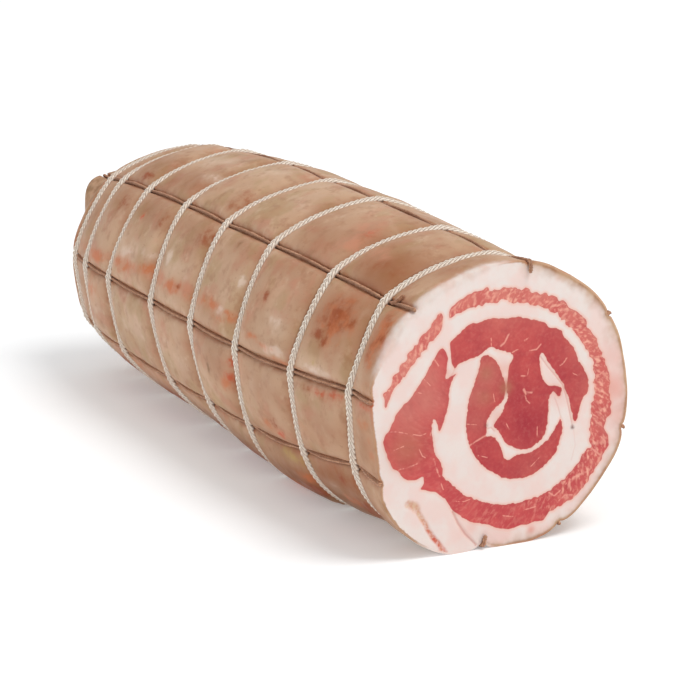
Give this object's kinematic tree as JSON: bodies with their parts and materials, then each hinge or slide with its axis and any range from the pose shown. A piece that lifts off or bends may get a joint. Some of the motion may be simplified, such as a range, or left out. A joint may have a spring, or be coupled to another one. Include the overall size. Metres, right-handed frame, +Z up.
{
  "type": "pancetta",
  "caption": "Rolled pork belly tied with hoops of twine over lengthwise strings, cut flat at one end to show the spiral of fat and lean.",
  "frame": {"origin": "under the middle of the roll, on the surface that it lies on", "axes": "+X along the roll towards the cut end, +Y to the right when facing the cut, +Z up"},
  "size_m": [0.4216, 0.1567, 0.1469],
  "materials": {
    "rind_and_fat": "waxy pork rind outside, pale firm fat at the cut",
    "outer_lean": "moist marbled lean",
    "inner_lean": "moist deep red lean",
    "twine": "twisted cotton butcher's twine",
    "stained_string": "twisted string stained brown by the cure"
  },
  "bodies": {
    "root": {"belly_roll": "rind_and_fat", "outer_lean_start": "outer_lean", "outer_lean_spiral": "outer_lean", "inner_lean_arc": "inner_lean", "inner_lean_hook": "inner_lean", "twine_hoop_1": "twine", "twine_hoop_2": "twine", "twine_hoop_3": "twine", "twine_hoop_4": "twine", "twine_hoop_5": "twine", "twine_hoop_6": "twine", "twine_hoop_7": "twine", "twine_hoop_8": "twine", "long_string_1": "stained_string", "long_string_2": "stained_string", "long_string_3": "stained_string", "long_string_4": "stained_string"}
  },
  "joints": []
}
